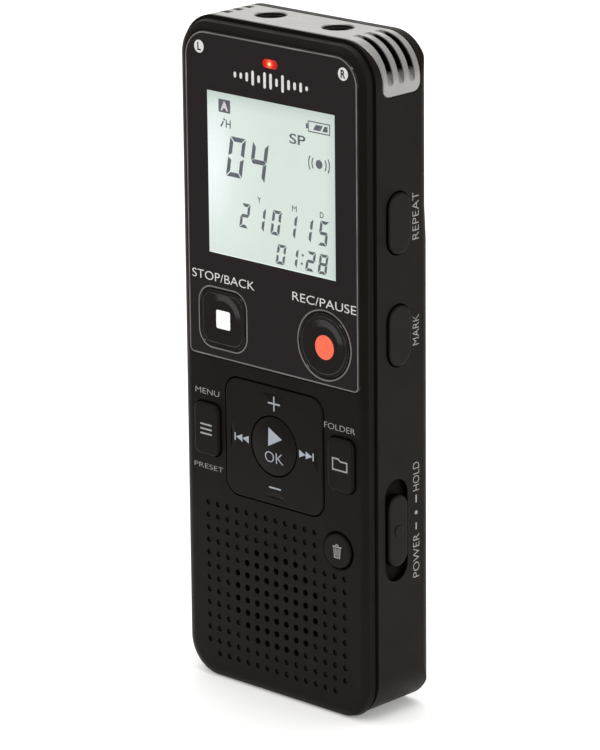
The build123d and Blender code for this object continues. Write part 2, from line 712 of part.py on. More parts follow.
# ---- circuit board and what sits on it ----
def board_outline():
    plate = Pos(0, (BOARD_LOW_Z + BOARD_SHOULDER_Z) / 2) * Rectangle(
        2 * BOARD_HALF_WIDTH, BOARD_SHOULDER_Z - BOARD_LOW_Z
    )
    tongue_x, tongue_top = BOARD_TONGUE
    plate += Pos(0, tongue_top / 2 + BOARD_LOW_Z / 2) * Rectangle(
        2 * tongue_x, tongue_top - BOARD_LOW_Z
    )
    tab_x, tab_low = BOARD_TAB
    for side in (-1, 1):
        plate += Pos(side * (tab_x + BOARD_HALF_WIDTH) / 2, (tab_low + BOARD_LOW_Z) / 2 + 1) * (
            Rectangle(BOARD_HALF_WIDTH - tab_x, BOARD_LOW_Z - tab_low + 2)
        )
    for at in CASE_SCREWS_AT:
        plate -= Pos(*at) * Circle(BOSS_R + 3 * GAP)
    for at in BOARD_SCREWS_AT:
        plate -= Pos(*at) * Circle(SCREW_PASS_R)
    return plate


def main_board():
    return front_prism(board_outline(), *BOARD_YS)


def key_switches():
    """Ten low push switches on the front of the board, one behind each key and pad direction."""
    reach_x = 7.9
    reach_z = 7.5
    places = [STOP_AT, REC_AT, MENU_AT, FOLDER_AT, DELETE_AT, NAV_AT]
    for dx, dz in ((reach_x, 0), (-reach_x, 0), (0, reach_z), (0, -reach_z)):
        places.append((NAV_AT[0] + dx, NAV_AT[1] + dz))
    switches = []
    for x, z in places:
        can = rounded((x, z), 2.6, 2.6, 0.3)
        can = front_prism(can, SWITCH_TOP_Y + 0.25, BOARD_YS[0])
        switches.append(can + y_rod((x, z), 0.7, SWITCH_TOP_Y, BOARD_YS[0]))
    return Compound(switches)


def side_switches():
    """Two right-angle push switches behind the side buttons."""
    switches = []
    for z in (REPEAT_Z, MARK_Z):
        can = block((13.4, SIDE_SWITCH_TOP_X - 0.4), (BOARD_YS[1], 1.4), (z - 2.2, z + 2.2))
        tip = side_prism(Pos(SIDE_BUTTON_Y, z) * Circle(0.8), 14.0, SIDE_SWITCH_TOP_X)
        switches.append(can + tip)
    return Compound(switches)


def lcd_glass():
    xs = (-LCD_HALF_WIDTH, LCD_HALF_WIDTH)
    return block(xs, (LCD_FRONT_Y, LCD_FRONT_Y + LCD_GLASS), LCD_ZS)


def lcd_light_guide():
    xs = (-LCD_HALF_WIDTH, LCD_HALF_WIDTH)
    front = LCD_FRONT_Y + LCD_GLASS
    return block(xs, (front, front + LIGHT_GUIDE), LCD_ZS)


def lcd_frame():
    """Moulded tray that holds the glass and its light guide on the board."""
    wall = 1.6
    low, high = LCD_ZS
    edge_x = LCD_HALF_WIDTH + wall
    back = BOARD_YS[0]
    tray = block((-edge_x, edge_x), (FLANGE_FRONT_Y, back), (low - wall, high + wall))
    well_x = LCD_HALF_WIDTH + GAP
    shelf_y = LCD_FRONT_Y + LCD_GLASS + LIGHT_GUIDE
    tray -= block((-well_x, well_x), (FACE_Y, shelf_y), (low - GAP, high + GAP))
    hollow_x = LCD_HALF_WIDTH - 1.5
    tray -= block((-hollow_x, hollow_x), (FACE_Y, back), (low + 1.5, high - 1.5))
    return tray - block((-6.2, 6.2), (FACE_Y, LCD_FRONT_Y + LCD_GLASS), (low - wall, low))


def lcd_flex():
    """Ribbon from the lower edge of the glass down to the board."""
    tail = block((-6, 6), (-4.5, -4.3), (63.8, LCD_ZS[0]))
    return tail + block((-6, 6), (-4.5, BOARD_YS[0]), (63.8, 64.0))


def record_led():
    return block((-0.8, 0.8), (-3.3, BOARD_YS[0]), (LED_Z - 0.4, LED_Z + 0.4))


def chip(at, width, height, thickness):
    """Square package on the back of the board."""
    body = rounded(at, width, height, 0.2)
    return front_prism(body, BOARD_YS[1], BOARD_YS[1] + thickness)


def jack(x):
    """3.5 mm socket that stands on the board, with its nose in the top wall."""
    half = JACK_BODY_WIDTH / 2
    top = HEIGHT - WALL - 0.05
    body = block((x - half, x + half), (BOARD_YS[1], JACK_Y + 2.5), (JACK_BODY_LOW_Z, top))
    nose_length = JACK_NOSE_TOP - top
    body += Pos(x, JACK_Y, top + nose_length / 2) * Cylinder(JACK_NOSE_R, nose_length)
    bore_z = JACK_NOSE_TOP - JACK_BORE_DEPTH / 2
    return body - Pos(x, JACK_Y, bore_z) * Cylinder(JACK_BORE_R, JACK_BORE_DEPTH)


def usb_socket():
    """Small data and charging socket, its mouth in the left wall."""
    length, thickness, width = USB_SIZE
    mouth_x = -SIDE_X + 0.25
    shell = side_prism(rounded((USB_Y, USB_Z), thickness, width, 0.7), mouth_x, mouth_x + length)
    hollow = rounded((USB_Y, USB_Z), thickness - 0.6, width - 0.6, 0.45)
    shell -= side_prism(hollow, mouth_x, mouth_x + length - 0.6)
    tongue = block(
        (mouth_x + 0.8, mouth_x + length - 0.6),
        (USB_Y - 0.3, USB_Y + 0.3),
        (USB_Z - 2.2, USB_Z + 2.2),
    )
    return shell + tongue


# ---- microphones ----
def mic_axis_place(distance):
    """Place on the diagonal through the right-hand top corner, turned to face outward."""
    centre_x = SIDE_X - CORNER_R
    centre_z = HEIGHT - CORNER_R
    step = distance / math.sqrt(2)
    middle_y = sum(PORT_YS) / 2
    return Pos(centre_x + step, middle_y, centre_z + step) * Rot(0, 45, 0)


def mic_capsule():
    seat = MIC_BOOT_OUT - 0.4 - MIC_CAPSULE_DEPTH / 2
    return mic_axis_place(seat) * Cylinder(MIC_CAPSULE_R, MIC_CAPSULE_DEPTH)


def mic_boot():
    boot = mic_axis_place(MIC_BOOT_OUT - MIC_BOOT_DEPTH / 2) * Cylinder(MIC_BOOT_R, MIC_BOOT_DEPTH)
    pocket_depth = 0.4 + MIC_CAPSULE_DEPTH
    pocket = Cylinder(MIC_CAPSULE_R + 0.02, pocket_depth)
    return boot - mic_axis_place(MIC_BOOT_OUT - pocket_depth / 2) * pocket


# ---- loudspeaker ----
SPEAKER_AT = (0.0, SPEAKER_Z)


def speaker_screen():
    return y_rod(SPEAKER_AT, SPEAKER_R - 0.4, PLATE_BACK_Y, PLATE_BACK_Y + 0.15)


def speaker_gasket():
    ring = y_rod(SPEAKER_AT, SPEAKER_R, PLATE_BACK_Y + 0.15, SPEAKER_FRAME_YS[0])
    return ring - y_rod(SPEAKER_AT, SPEAKER_CONE_R + 0.2, PLATE_BACK_Y, SPEAKER_FRAME_YS[0])


def speaker_frame():
    """Round basket with a front rim, a wall and a floor with four vents."""
    front, back = SPEAKER_FRAME_YS
    frame = y_rod(SPEAKER_AT, SPEAKER_R, front, front + 0.5)
    frame += y_rod(SPEAKER_AT, SPEAKER_R - 0.8, front, back)
    frame -= y_rod(SPEAKER_AT, SPEAKER_CONE_R, front, back - 0.5)
    for turn in range(4):
        angle = math.radians(45 + 90 * turn)
        vent_at = (7.0 * math.cos(angle), SPEAKER_Z + 7.0 * math.sin(angle))
        frame -= y_rod(vent_at, 1.1, front, back)
    return frame


def speaker_cone():
    """Thin diaphragm with a domed middle."""
    rim = y_rod(SPEAKER_AT, SPEAKER_CONE_R - 0.05, -3.6, -3.4)
    dome_r = 9.0
    dome_centre = Pos(0, -3.9 + dome_r, SPEAKER_Z)
    dome = dome_centre * Sphere(dome_r) - dome_centre * Sphere(dome_r - 0.2)
    dome &= y_rod(SPEAKER_AT, 3.2, -4.0, -3.3)
    return rim - y_rod(SPEAKER_AT, 2.2, -3.6, -3.4) + dome


def speaker_magnet():
    magnet = y_rod(SPEAKER_AT, MAGNET_R, *MAGNET_YS)
    return chamfer(back_face(magnet).edges(), 0.3)


# ---- battery and screws ----
def battery_pouch():
    xs = (-BATTERY_HALF_WIDTH, BATTERY_HALF_WIDTH)
    cell = block(xs, BATTERY_YS, BATTERY_ZS)
    return fillet(cell.edges().filter_by(Axis.Z), 1.2)


def battery_pad():
    low, high = BATTERY_ZS
    return block((-9, 9), (BATTERY_YS[1], INNER_BACK_Y), (low + 8, high - 8))


def screw(at, head_seat_y, tip_y):
    """Pan-head screw with a cross recess, pointing to the front."""
    body = y_rod(at, SCREW_R, tip_y, head_seat_y)
    head = y_rod(at, SCREW_HEAD_R, head_seat_y, head_seat_y + SCREW_HEAD_HEIGHT)
    head = fillet(back_face(head).edges(), 0.3)
    cross = Pos(*at) * (Rectangle(1.7, 0.36) + Rectangle(0.36, 1.7))
    end = head_seat_y + SCREW_HEAD_HEIGHT
    return body + head - front_prism(cross, end - 0.5, end + 1)


def case_screws():
    return Compound([screw(at, SCREW_HEAD_SEAT_Y, -3.6) for at in CASE_SCREWS_AT])


def board_screws():
    return Compound([screw(at, BOARD_YS[1], -3.9) for at in BOARD_SCREWS_AT])


PARTS = {
    "front_shell": front_shell(),
    "rear_shell": rear_shell(),
    "top_trim": top_trim(),
    "front_panel": front_panel(),
    "display_window": display_window(),
    "led_lens": led_lens(),
    "stop_button": stop_button(),
    "rec_button": rec_button(),
    "menu_button": side_key(MENU_AT),
    "folder_button": side_key(FOLDER_AT),
    "delete_button": delete_button(),
    "nav_pad": nav_pad(),
    "nav_rocker_ring": nav_rocker_ring(),
    "ok_button": ok_button(),
    "repeat_button": side_button(REPEAT_Z),
    "mark_button": side_button(MARK_Z),
    "hold_slider": hold_slider(),
    "slide_switch_lever": slide_switch_lever(),
    "slide_switch_body": slide_switch_body(),
    "main_board": main_board(),
    "key_switches": key_switches(),
    "side_switches": side_switches(),
    "lcd_glass": lcd_glass(),
    "lcd_light_guide": lcd_light_guide(),
    "lcd_frame": lcd_frame(),
    "lcd_flex": lcd_flex(),
    "record_led": record_led(),
    "mic_jack": jack(-JACK_X),
    "earphone_jack": jack(JACK_X),
    "left_mic_capsule": mirrored(mic_capsule()),
    "right_mic_capsule": mic_capsule(),
    "left_mic_boot": mirrored(mic_boot()),
    "right_mic_boot": mic_boot(),
    "left_mic_mesh": mirrored(mic_mesh()),
    "right_mic_mesh": mic_mesh(),
    "speaker_screen": speaker_screen(),
    "speaker_gasket": speaker_gasket(),
    "speaker_frame": speaker_frame(),
    "speaker_cone": speaker_cone(),
    "speaker_magnet": speaker_magnet(),
    "battery_pouch": battery_pouch(),
    "battery_pad": battery_pad(),
    "usb_socket": usb_socket(),
    "processor_chip": chip((-4.5, 72.0), 9.0, 9.0, 1.1),
    "memory_chip": chip((5.5, 47.5), 9.0, 12.0, 1.0),
    "clock_crystal": chip((4.5, 73.0), 2.0, 5.0, 1.1),
    "case_screws": case_screws(),
    "board_screws": board_screws(),
}

os.makedirs("parts", exist_ok=True)
for name, shape in PARTS.items():
    export_step(shape, f"parts/{name}.step")
    print(f"{name:20s} {shape.volume:10.2f} mm3")
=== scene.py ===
import json
import math

import bmesh
import bpy
from mathutils import Matrix, Vector


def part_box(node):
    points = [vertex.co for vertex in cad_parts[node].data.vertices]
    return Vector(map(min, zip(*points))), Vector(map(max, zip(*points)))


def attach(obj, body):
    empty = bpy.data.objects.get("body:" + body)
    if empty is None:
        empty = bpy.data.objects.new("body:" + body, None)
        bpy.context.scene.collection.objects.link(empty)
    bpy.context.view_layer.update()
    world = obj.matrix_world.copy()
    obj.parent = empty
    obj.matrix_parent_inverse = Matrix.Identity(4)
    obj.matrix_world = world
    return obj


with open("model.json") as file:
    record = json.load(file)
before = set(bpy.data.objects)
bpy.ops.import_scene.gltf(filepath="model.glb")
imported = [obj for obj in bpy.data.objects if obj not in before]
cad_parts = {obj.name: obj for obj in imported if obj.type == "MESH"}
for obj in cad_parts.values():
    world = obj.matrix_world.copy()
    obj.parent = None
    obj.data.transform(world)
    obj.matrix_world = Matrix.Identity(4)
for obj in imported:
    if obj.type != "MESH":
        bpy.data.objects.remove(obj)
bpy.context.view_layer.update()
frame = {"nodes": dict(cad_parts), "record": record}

# Handheld voice recorder: its looks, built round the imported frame. Sizes and places are in
# millimetres and are turned into Blender's metres with MM. Lights and stage are in metres.
MM = 0.001
X, Y, Z = 0, 1, 2


# ---- places read from the frame ----
def span(node, axis):
    """Low and high end of a node along an axis."""
    low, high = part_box(node)
    return low[axis] / MM, high[axis] / MM


FACE_Y = span("front_shell", Y)[0]
PANEL_Y = span("front_panel", Y)[0]
LCD_Y = span("lcd_glass", Y)[0]
SIDE_X = span("rear_shell", X)[1]
HEIGHT = span("rear_shell", Z)[1]
PAD_Y = span("nav_pad", Y)[0]
OK_Y = span("ok_button", Y)[0]
MENU_Y = span("menu_button", Y)[0]
DELETE_Y = span("delete_button", Y)[0]


def centre(node):
    """Middle of a node seen from the front: (x, z)."""
    x_low, x_high = span(node, X)
    z_low, z_high = span(node, Z)
    return (x_low + x_high) / 2, (z_low + z_high) / 2


STOP_AT = centre("stop_button")
REC_AT = centre("rec_button")
MENU_AT = centre("menu_button")
FOLDER_AT = centre("folder_button")
DELETE_AT = centre("delete_button")
PAD_AT = centre("nav_pad")

# ---- sizes shared with the case ----
CORNER_R = 6.1
PANEL_LOW_R = 1.0
PANEL_HIGH_R = 4.2
PANEL_BEVEL = 0.25
STOP_HALF = (4.45, 4.25)
STOP_R = 2.2
REC_R = 4.8
OK_R = 4.45
OK_RISE = 0.25
KEY_GAP = 0.2
OPENING_BEVEL = 0.12


# ---- camera ----
CAMERA_TURN = math.radians(43.35)
CAMERA_TILT = math.radians(16.55)
CAMERA_ROLL = math.radians(-0.57)
CAMERA_AIM = Vector((0.0, 2.4, 55.0)) * MM
CAMERA_DISTANCE = 0.6417
CAMERA_SLIDE = (-1.94 * MM, -6.60 * MM)
FOCAL_LENGTH_MM = 209.65
SENSOR_WIDTH_MM = 36.0


def make_camera():
    """Camera that looks down on the case's front and right side."""
    back = Vector(
        (
            math.sin(CAMERA_TURN) * math.cos(CAMERA_TILT),
            -math.cos(CAMERA_TURN) * math.cos(CAMERA_TILT),
            math.sin(CAMERA_TILT),
        )
    )
    level = Vector((math.cos(CAMERA_TURN), math.sin(CAMERA_TURN), 0.0))
    rise = back.cross(level)
    right = level * math.cos(CAMERA_ROLL) + rise * math.sin(CAMERA_ROLL)
    up = rise * math.cos(CAMERA_ROLL) - level * math.sin(CAMERA_ROLL)
    place = CAMERA_AIM + back * CAMERA_DISTANCE + right * CAMERA_SLIDE[0] + up * CAMERA_SLIDE[1]
    data = bpy.data.cameras.new("camera")
    data.lens = FOCAL_LENGTH_MM
    data.sensor_width = SENSOR_WIDTH_MM
    data.clip_start = 0.01
    data.clip_end = 20.0
    camera = bpy.data.objects.new("camera", data)
    camera.matrix_world = Matrix((right, up, back)).transposed().to_4x4()
    camera.location = place
    bpy.context.scene.collection.objects.link(camera)
    bpy.context.scene.camera = camera


# ---- materials ----
def srgb(red, green, blue):
    """Linear colour of an 8-bit display colour."""
    def linear(value):
        part = value / 255.0
        return part / 12.92 if part <= 0.04045 else ((part + 0.055) / 1.055) ** 2.4

    return (linear(red), linear(green), linear(blue), 1.0)


class Finish:
    """A Principled material that detail is added to step by step."""

    def __init__(self, name, colour, roughness, **sockets):
        self.material = bpy.data.materials.new(name)
        self.material.use_nodes = True
        self.tree = self.material.node_tree
        self.shader = self.tree.nodes["Principled BSDF"]
        self.colour = colour
        self.set("Base Color", colour)
        self.set("Roughness", roughness)
        for socket, value in sockets.items():
            self.set(socket.replace("_", " "), value)
        self.place = self.node("ShaderNodeTexCoord").outputs["Object"]
        self.height = None

    def set(self, socket, value):
        self.shader.inputs[socket].default_value = value

    def node(self, kind, **settings):
        made = self.tree.nodes.new(kind)
        for name, value in settings.items():
            setattr(made, name, value)
        return made

    def link(self, source, target):
        self.tree.links.new(source, target)

    def noise(self, size_mm, detail=2.0, stretch=(1, 1, 1)):
        """Noise whose blobs are about size_mm across."""
        scale = self.node("ShaderNodeMapping")
        scale.inputs["Scale"].default_value = stretch
        self.link(self.place, scale.inputs["Vector"])
        texture = self.node("ShaderNodeTexNoise")
        texture.inputs["Scale"].default_value = 1.0 / (size_mm * MM)
        texture.inputs["Detail"].default_value = detail
        self.link(scale.outputs["Vector"], texture.inputs["Vector"])
        return texture.outputs["Fac"]

    def between(self, factor, low, high, start=0.3, end=0.7):
        """Value from low to high as the factor goes from start to end."""
        blend = self.node("ShaderNodeMapRange")
        blend.inputs["From Min"].default_value = start
        blend.inputs["From Max"].default_value = end
        blend.inputs["To Min"].default_value = low
        blend.inputs["To Max"].default_value = high
        self.link(factor, blend.inputs["Value"])
        return blend.outputs["Result"]

    def mix(self, factor, first, second):
        """Colour blend; each colour is a value or another node's output."""
        blend = self.node("ShaderNodeMix", data_type="RGBA")
        colour_inputs = [socket for socket in blend.inputs if socket.type == "RGBA"]
        for socket, colour in zip(colour_inputs, (first, second)):
            if isinstance(colour, tuple):
                socket.default_value = colour
            else:
                self.link(colour, socket)
        self.link(factor, blend.inputs[0])
        return blend.outputs[2]

    def maths(self, operation, first, second=0.0):
        """One sum; each term is a number or another node's output."""
        sum_up = self.node("ShaderNodeMath", operation=operation)
        for socket, value in zip(sum_up.inputs, (first, second)):
            if isinstance(value, float):
                socket.default_value = value
            else:
                self.link(value, socket)
        return sum_up.outputs[0]

    def product(self, first, *others):
        """Several outputs multiplied together."""
        for other in others:
            first = self.maths("MULTIPLY", first, other)
        return first

    def past(self, place, start_mm, end_mm):
        """0 before start_mm, rising to 1 at end_mm."""
        return self.between(place, 0.0, 1.0, start_mm * MM, end_mm * MM)

    def before(self, place, start_mm, end_mm):
        """1 before start_mm, falling to 0 at end_mm."""
        return self.between(place, 1.0, 0.0, start_mm * MM, end_mm * MM)

    def vector(self, operation, source, values):
        """One vector sum with a fixed second term."""
        change = self.node("ShaderNodeVectorMath", operation=operation)
        change.inputs[1].default_value = values
        self.link(source, change.inputs[0])
        return change.outputs["Vector"]

    def coordinates(self):
        """Object coordinates as three outputs."""
        parts = self.node("ShaderNodeSeparateXYZ")
        self.link(self.place, parts.inputs[0])
        return parts.outputs

    def depth_below_outline(self):
        """How far a point lies in from the case's outline seen from the front, near its edge."""
        middle = Vector((0, 0, HEIGHT / 2)) * MM
        core = Vector((SIDE_X - CORNER_R, 0, HEIGHT / 2 - CORNER_R)) * MM
        reach = self.vector("ABSOLUTE", self.vector("SUBTRACT", self.place, middle), (0, 0, 0))
        reach = self.vector("SUBTRACT", reach, core)
        flat = self.vector("MULTIPLY", self.vector("MAXIMUM", reach, (0, 0, 0)), (1, 0, 1))
        length = self.node("ShaderNodeVectorMath", operation="LENGTH")
        self.link(flat, length.inputs[0])
        return self.maths("SUBTRACT", CORNER_R * MM, length.outputs["Value"])

    def cloudy(self, size_mm, low, high):
        """Colour that drifts between two others in soft patches."""
        factor = self.between(self.noise(size_mm, 4.0), 0.0, 1.0, 0.35, 0.65)
        return self.mix(factor, low, high)

    def vary_colour(self, size_mm, darker, lighter):
        """Patches between a darker and a lighter shade of the base colour."""
        low = tuple(c * darker for c in self.colour[:3]) + (1.0,)
        high = tuple(c * lighter for c in self.colour[:3]) + (1.0,)
        self.link(self.cloudy(size_mm, low, high), self.shader.inputs["Base Color"])
        return self

    def vary_roughness(self, size_mm, low, high):
        factor = self.noise(size_mm, 3.0)
        self.link(self.between(factor, low, high), self.shader.inputs["Roughness"])
        return self

    def paint_shade(self, factor, colour, black, shine, black_shine):
        """A colour and its shine, fading to the painted shade of a dark opening as the factor goes to 1.
        """
        self.link(self.mix(factor, colour, black), self.shader.inputs["Base Color"])
        fade = self.between(factor, shine, black_shine, 0.0, 1.0)
        self.link(fade, self.shader.inputs["Specular IOR Level"])
        return self

    def colour_ramp(self, reach, stops):
        """Colour from (place, colour) stops, the first at a reach of 0 and the last at 1."""
        ramp = self.node("ShaderNodeValToRGB")
        self.link(reach, ramp.inputs["Fac"])
        elements = ramp.color_ramp.elements
        elements[0].color = stops[0][1]
        elements[1].color = stops[-1][1]
        for place, colour in stops[1:-1]:
            elements.new(place).color = colour
        return ramp.outputs["Color"]

    def distance_to(self, source, place):
        """Distance from a vector output to a fixed place in metres."""
        reach = self.node("ShaderNodeVectorMath", operation="DISTANCE")
        reach.inputs[1].default_value = place
        self.link(source, reach.inputs[0])
        return reach.outputs["Value"]

    def grain(self, size_mm, depth_mm, detail=2.0, stretch=(1, 1, 1)):
        """Fine moulded or blasted texture of a real depth; a second call adds to the first."""
        bump = self.node("ShaderNodeBump")
        bump.inputs["Strength"].default_value = 1.0
        bump.inputs["Distance"].default_value = depth_mm * MM
        self.link(self.noise(size_mm, detail, stretch=stretch), bump.inputs["Height"])
        if self.height is not None:
            self.link(self.height, bump.inputs["Normal"])
        self.height = bump.outputs["Normal"]
        self.link(self.height, self.shader.inputs["Normal"])
        return self

    def glow(self, colour, strength):
        """Plain light of its own."""
        self.set("Emission Color", colour)
        self.set("Emission Strength", strength)
        return self


# Painted shade: near-black put where shade falls inside openings and on the flanks of the side keys.
PAINTED_SHADE_BLACK = srgb(7, 6, 5)
SIDE_OPENINGS_Z = (19.0, 83.0)
SIDE_OPENINGS_HALF_Y = 3.5


def shell_black():
    """Matte shell, with painted shade black down inside the openings of the right side."""
    finish = Finish("shell_black", srgb(23, 18, 13), 0.45)
    matte = finish.cloudy(9.0, srgb(16, 12, 8), srgb(19, 14, 9))
    x, y, z = finish.coordinates()
    low, high = SIDE_OPENINGS_Z
    half = (high - low) / 2
    from_middle = finish.maths("ABSOLUTE", finish.maths("SUBTRACT", z, (low + half) * MM))
    under_side = finish.product(
        finish.before(x, SIDE_X - 0.25, SIDE_X - 0.1),
        finish.past(x, SIDE_X - 3.5, SIDE_X - 3.0),
    )
    beside_openings = finish.product(
        finish.before(finish.maths("ABSOLUTE", y), SIDE_OPENINGS_HALF_Y, SIDE_OPENINGS_HALF_Y + 0.2),
        finish.before(from_middle, half, half + 1.0),
    )
    opening = finish.product(under_side, beside_openings)
    # Painted shade: the mask blackens the walls inside the right side's openings, where shade falls.
    finish.paint_shade(opening, matte, PAINTED_SHADE_BLACK, 0.09, 0.03)
    return finish.vary_roughness(3.0, 0.4, 0.5).grain(0.35, 0.004).grain(0.12, 0.002).material


def key_matte():
    """Matte keys, with painted shade black on the flanks of the keys in the right side."""
    finish = Finish("key_matte", srgb(22, 17, 13), 0.38)
    matte = finish.cloudy(5.0, srgb(16, 12, 9), srgb(18, 14, 11))
    x = finish.coordinates()[X]
    # Painted shade: the flanks of the side keys and the slider go black, as shadowed walls.
    painted_flank_shade = finish.product(
        finish.before(x, SIDE_X + 0.2, SIDE_X + 0.34),
        finish.past(x, SIDE_X - 2.6, SIDE_X - 2.3),
    )
    finish.paint_shade(painted_flank_shade, matte, PAINTED_SHADE_BLACK, 0.1, 0.03)
    return finish.vary_roughness(2.0, 0.34, 0.42).grain(0.2, 0.002).material


def panel_black():
    """Glossy panel, very slightly wavy."""
    finish = Finish("panel_black", srgb(39, 34, 35), 0.06, Specular_IOR_Level=0.24)
    return finish.vary_roughness(14.0, 0.04, 0.09).grain(30.0, 0.01, 1.0).material


def key_black():
    """Glossy caps of the stop and the record key."""
    finish = Finish("key_black", srgb(33, 30, 30), 0.08, Specular_IOR_Level=0.22)
    return finish.vary_roughness(4.0, 0.06, 0.11).grain(6.0, 0.004, 1.0).material


def painted_edge_highlight():
    """Painted highlight: thin lit edge of the clear layer round the glossy panel and its openings."""
    finish = Finish("painted_edge_highlight", srgb(122, 116, 114), 0.3, Specular_IOR_Level=0.4)
    return finish.vary_colour(7.0, 0.65, 1.15).grain(0.3, 0.001).material


def trim_silver():
    """Satin silver outside; painted shade black down inside the sound slots and the jack holes."""
    metallic = 0.7
    finish = Finish("trim_silver", srgb(172, 171, 168), 0.36)
    silver = finish.cloudy(4.0, srgb(153, 152, 149), srgb(161, 160, 157))
    x, _, z = finish.coordinates()
    # Painted shade: deep inside the slots and jack holes the silver turns black, except at the lower slot
    # ends.
    deep = finish.past(finish.depth_below_outline(), 0.1, 0.2)
    from_middle = finish.maths("ABSOLUTE", x)
    over_slots = finish.past(from_middle, 12.9, 13.4)
    near_jacks = finish.before(from_middle, 9.0, 10.0)
    above_slot_ends = finish.past(z, 96.4, 97.1)
    where = finish.product(finish.maths("MAXIMUM", over_slots, near_jacks), above_slot_ends)
    dark = finish.product(deep, where)
    finish.paint_shade(dark, silver, srgb(12, 11, 10), 0.5, 0.05)
    finish.link(finish.between(dark, metallic, 0.0, 0.0, 1.0), finish.shader.inputs["Metallic"])
    return finish.vary_roughness(1.2, 0.32, 0.42).grain(0.14, 0.0025).material


def window_clear():
    """Clear cover over the display, almost unseen but for its shine."""
    finish = Finish("window_clear", (0.9, 0.95, 0.93, 1.0), 0.04, Alpha=0.06)
    return finish.grain(25.0, 0.005, 1.0).material


DISPLAY_LAMP_X = -12.6
DISPLAY_LAMP_ABOVE_MIDDLE = 0.8
LAMP_SQUEEZE = 2.2


def lcd_green():
    """Lit display: pale green, brightest where the lamp shines in at the left edge."""
    finish = Finish("lcd_green", (0.05, 0.06, 0.055, 1.0), 0.25, Specular_IOR_Level=0.12)
    x, _, z = finish.coordinates()
    squeezed = finish.vector("MULTIPLY", finish.place, (LAMP_SQUEEZE, 1.0, 1.0))
    low, high = span("lcd_glass", Z)
    lamp_z = (low + high) / 2 + DISPLAY_LAMP_ABOVE_MIDDLE
    lamp_at = Vector((DISPLAY_LAMP_X * LAMP_SQUEEZE, LCD_Y, lamp_z)) * MM
    reach = finish.past(finish.distance_to(squeezed, lamp_at), 1.0, 26.0)
    stops = (
        (0.0, srgb(246, 252, 254)),
        (0.14, srgb(240, 247, 247)),
        (0.36, srgb(221, 232, 226)),
        (1.0, srgb(212, 223, 216)),
    )
    shade = finish.colour_ramp(reach, stops)
    shade = finish.mix(finish.past(z, 88.2, 90.6), shade, srgb(190, 203, 196))
    shade = finish.mix(finish.past(x, 9.6, 12.4), shade, srgb(184, 200, 198))
    mottle = finish.between(finish.noise(5.0, 3.0), 0.0, 0.12, 0.3, 0.7)
    shade = finish.mix(mottle, shade, srgb(198, 210, 204))
    finish.link(shade, finish.shader.inputs["Emission Color"])
    finish.set("Emission Strength", 0.94)
    return finish.material


def ink(name, colour, roughness=0.45):
    """Printed ink."""
    finish = Finish(name, colour, roughness, Specular_IOR_Level=0.35)
    finish.vary_colour(0.6, 0.93, 1.05)
    return finish.grain(0.1, 0.001).material


def led_red():
    """Lit lamp: yellow-white in its middle, dark red at the rim."""
    finish = Finish("led_red", srgb(170, 20, 10), 0.2, Specular_IOR_Level=0.4)
    x, z = centre("led_lens")
    middle = Vector((x, span("led_lens", Y)[0], z)) * MM
    reach = finish.past(finish.distance_to(finish.place, middle), 0.1, 1.5)
    stops = (
        (0.0, (1.0, 0.7, 0.32, 1.0)),
        (0.18, (0.7, 0.1, 0.03, 1.0)),
        (0.42, (0.2, 0.008, 0.004, 1.0)),
        (1.0, (0.03, 0.001, 0.001, 1.0)),
    )
    finish.link(finish.colour_ramp(reach, stops), finish.shader.inputs["Emission Color"])
    finish.set("Emission Strength", 1.6)
    return finish.material


MESH_PITCH = 0.22
WAVES_PER_UNIT = 0.314


def mesh_cloth():
    """Woven acoustic mesh: crossed threads from two wave textures."""
    finish = Finish("mesh_cloth", srgb(20, 20, 19), 0.8, Specular_IOR_Level=0.1)
    threads = []
    for direction in ("X", "Z"):
        wave = finish.node("ShaderNodeTexWave", bands_direction=direction, wave_profile="SIN")
        wave.inputs["Scale"].default_value = WAVES_PER_UNIT / (MESH_PITCH * MM)
        finish.link(finish.place, wave.inputs["Vector"])
        threads.append(wave.outputs["Fac"])
    weave = finish.product(*threads)
    bump = finish.node("ShaderNodeBump")
    bump.inputs["Distance"].default_value = 0.05 * MM
    finish.link(weave, bump.inputs["Height"])
    finish.link(bump.outputs["Normal"], finish.shader.inputs["Normal"])
    factor = finish.between(weave, 0.0, 1.0, 0.1, 0.8)
    colour = finish.mix(factor, srgb(6, 6, 5), srgb(26, 25, 23))
    finish.link(colour, finish.shader.inputs["Base Color"])
    return finish.material


def plain_metal(name, colour, roughness):
    """Metal with fine lengthwise grain."""
    finish = Finish(name, colour, roughness, Metallic=1.0)
    finish.vary_colour(2.0, 0.92, 1.05).vary_roughness(0.6, roughness - 0.06, roughness + 0.08)
    return finish.grain(0.2, 0.002, stretch=(1, 1, 0.15)).material


def plain_moulding(name, colour, roughness):
    """Moulded plastic, rubber or film in one colour."""
    finish = Finish(name, colour, roughness, Specular_IOR_Level=0.4)
    finish.vary_colour(3.0, 0.94, 1.06).vary_roughness(1.5, roughness - 0.05, roughness + 0.05)
    return finish.grain(0.25, 0.004).material


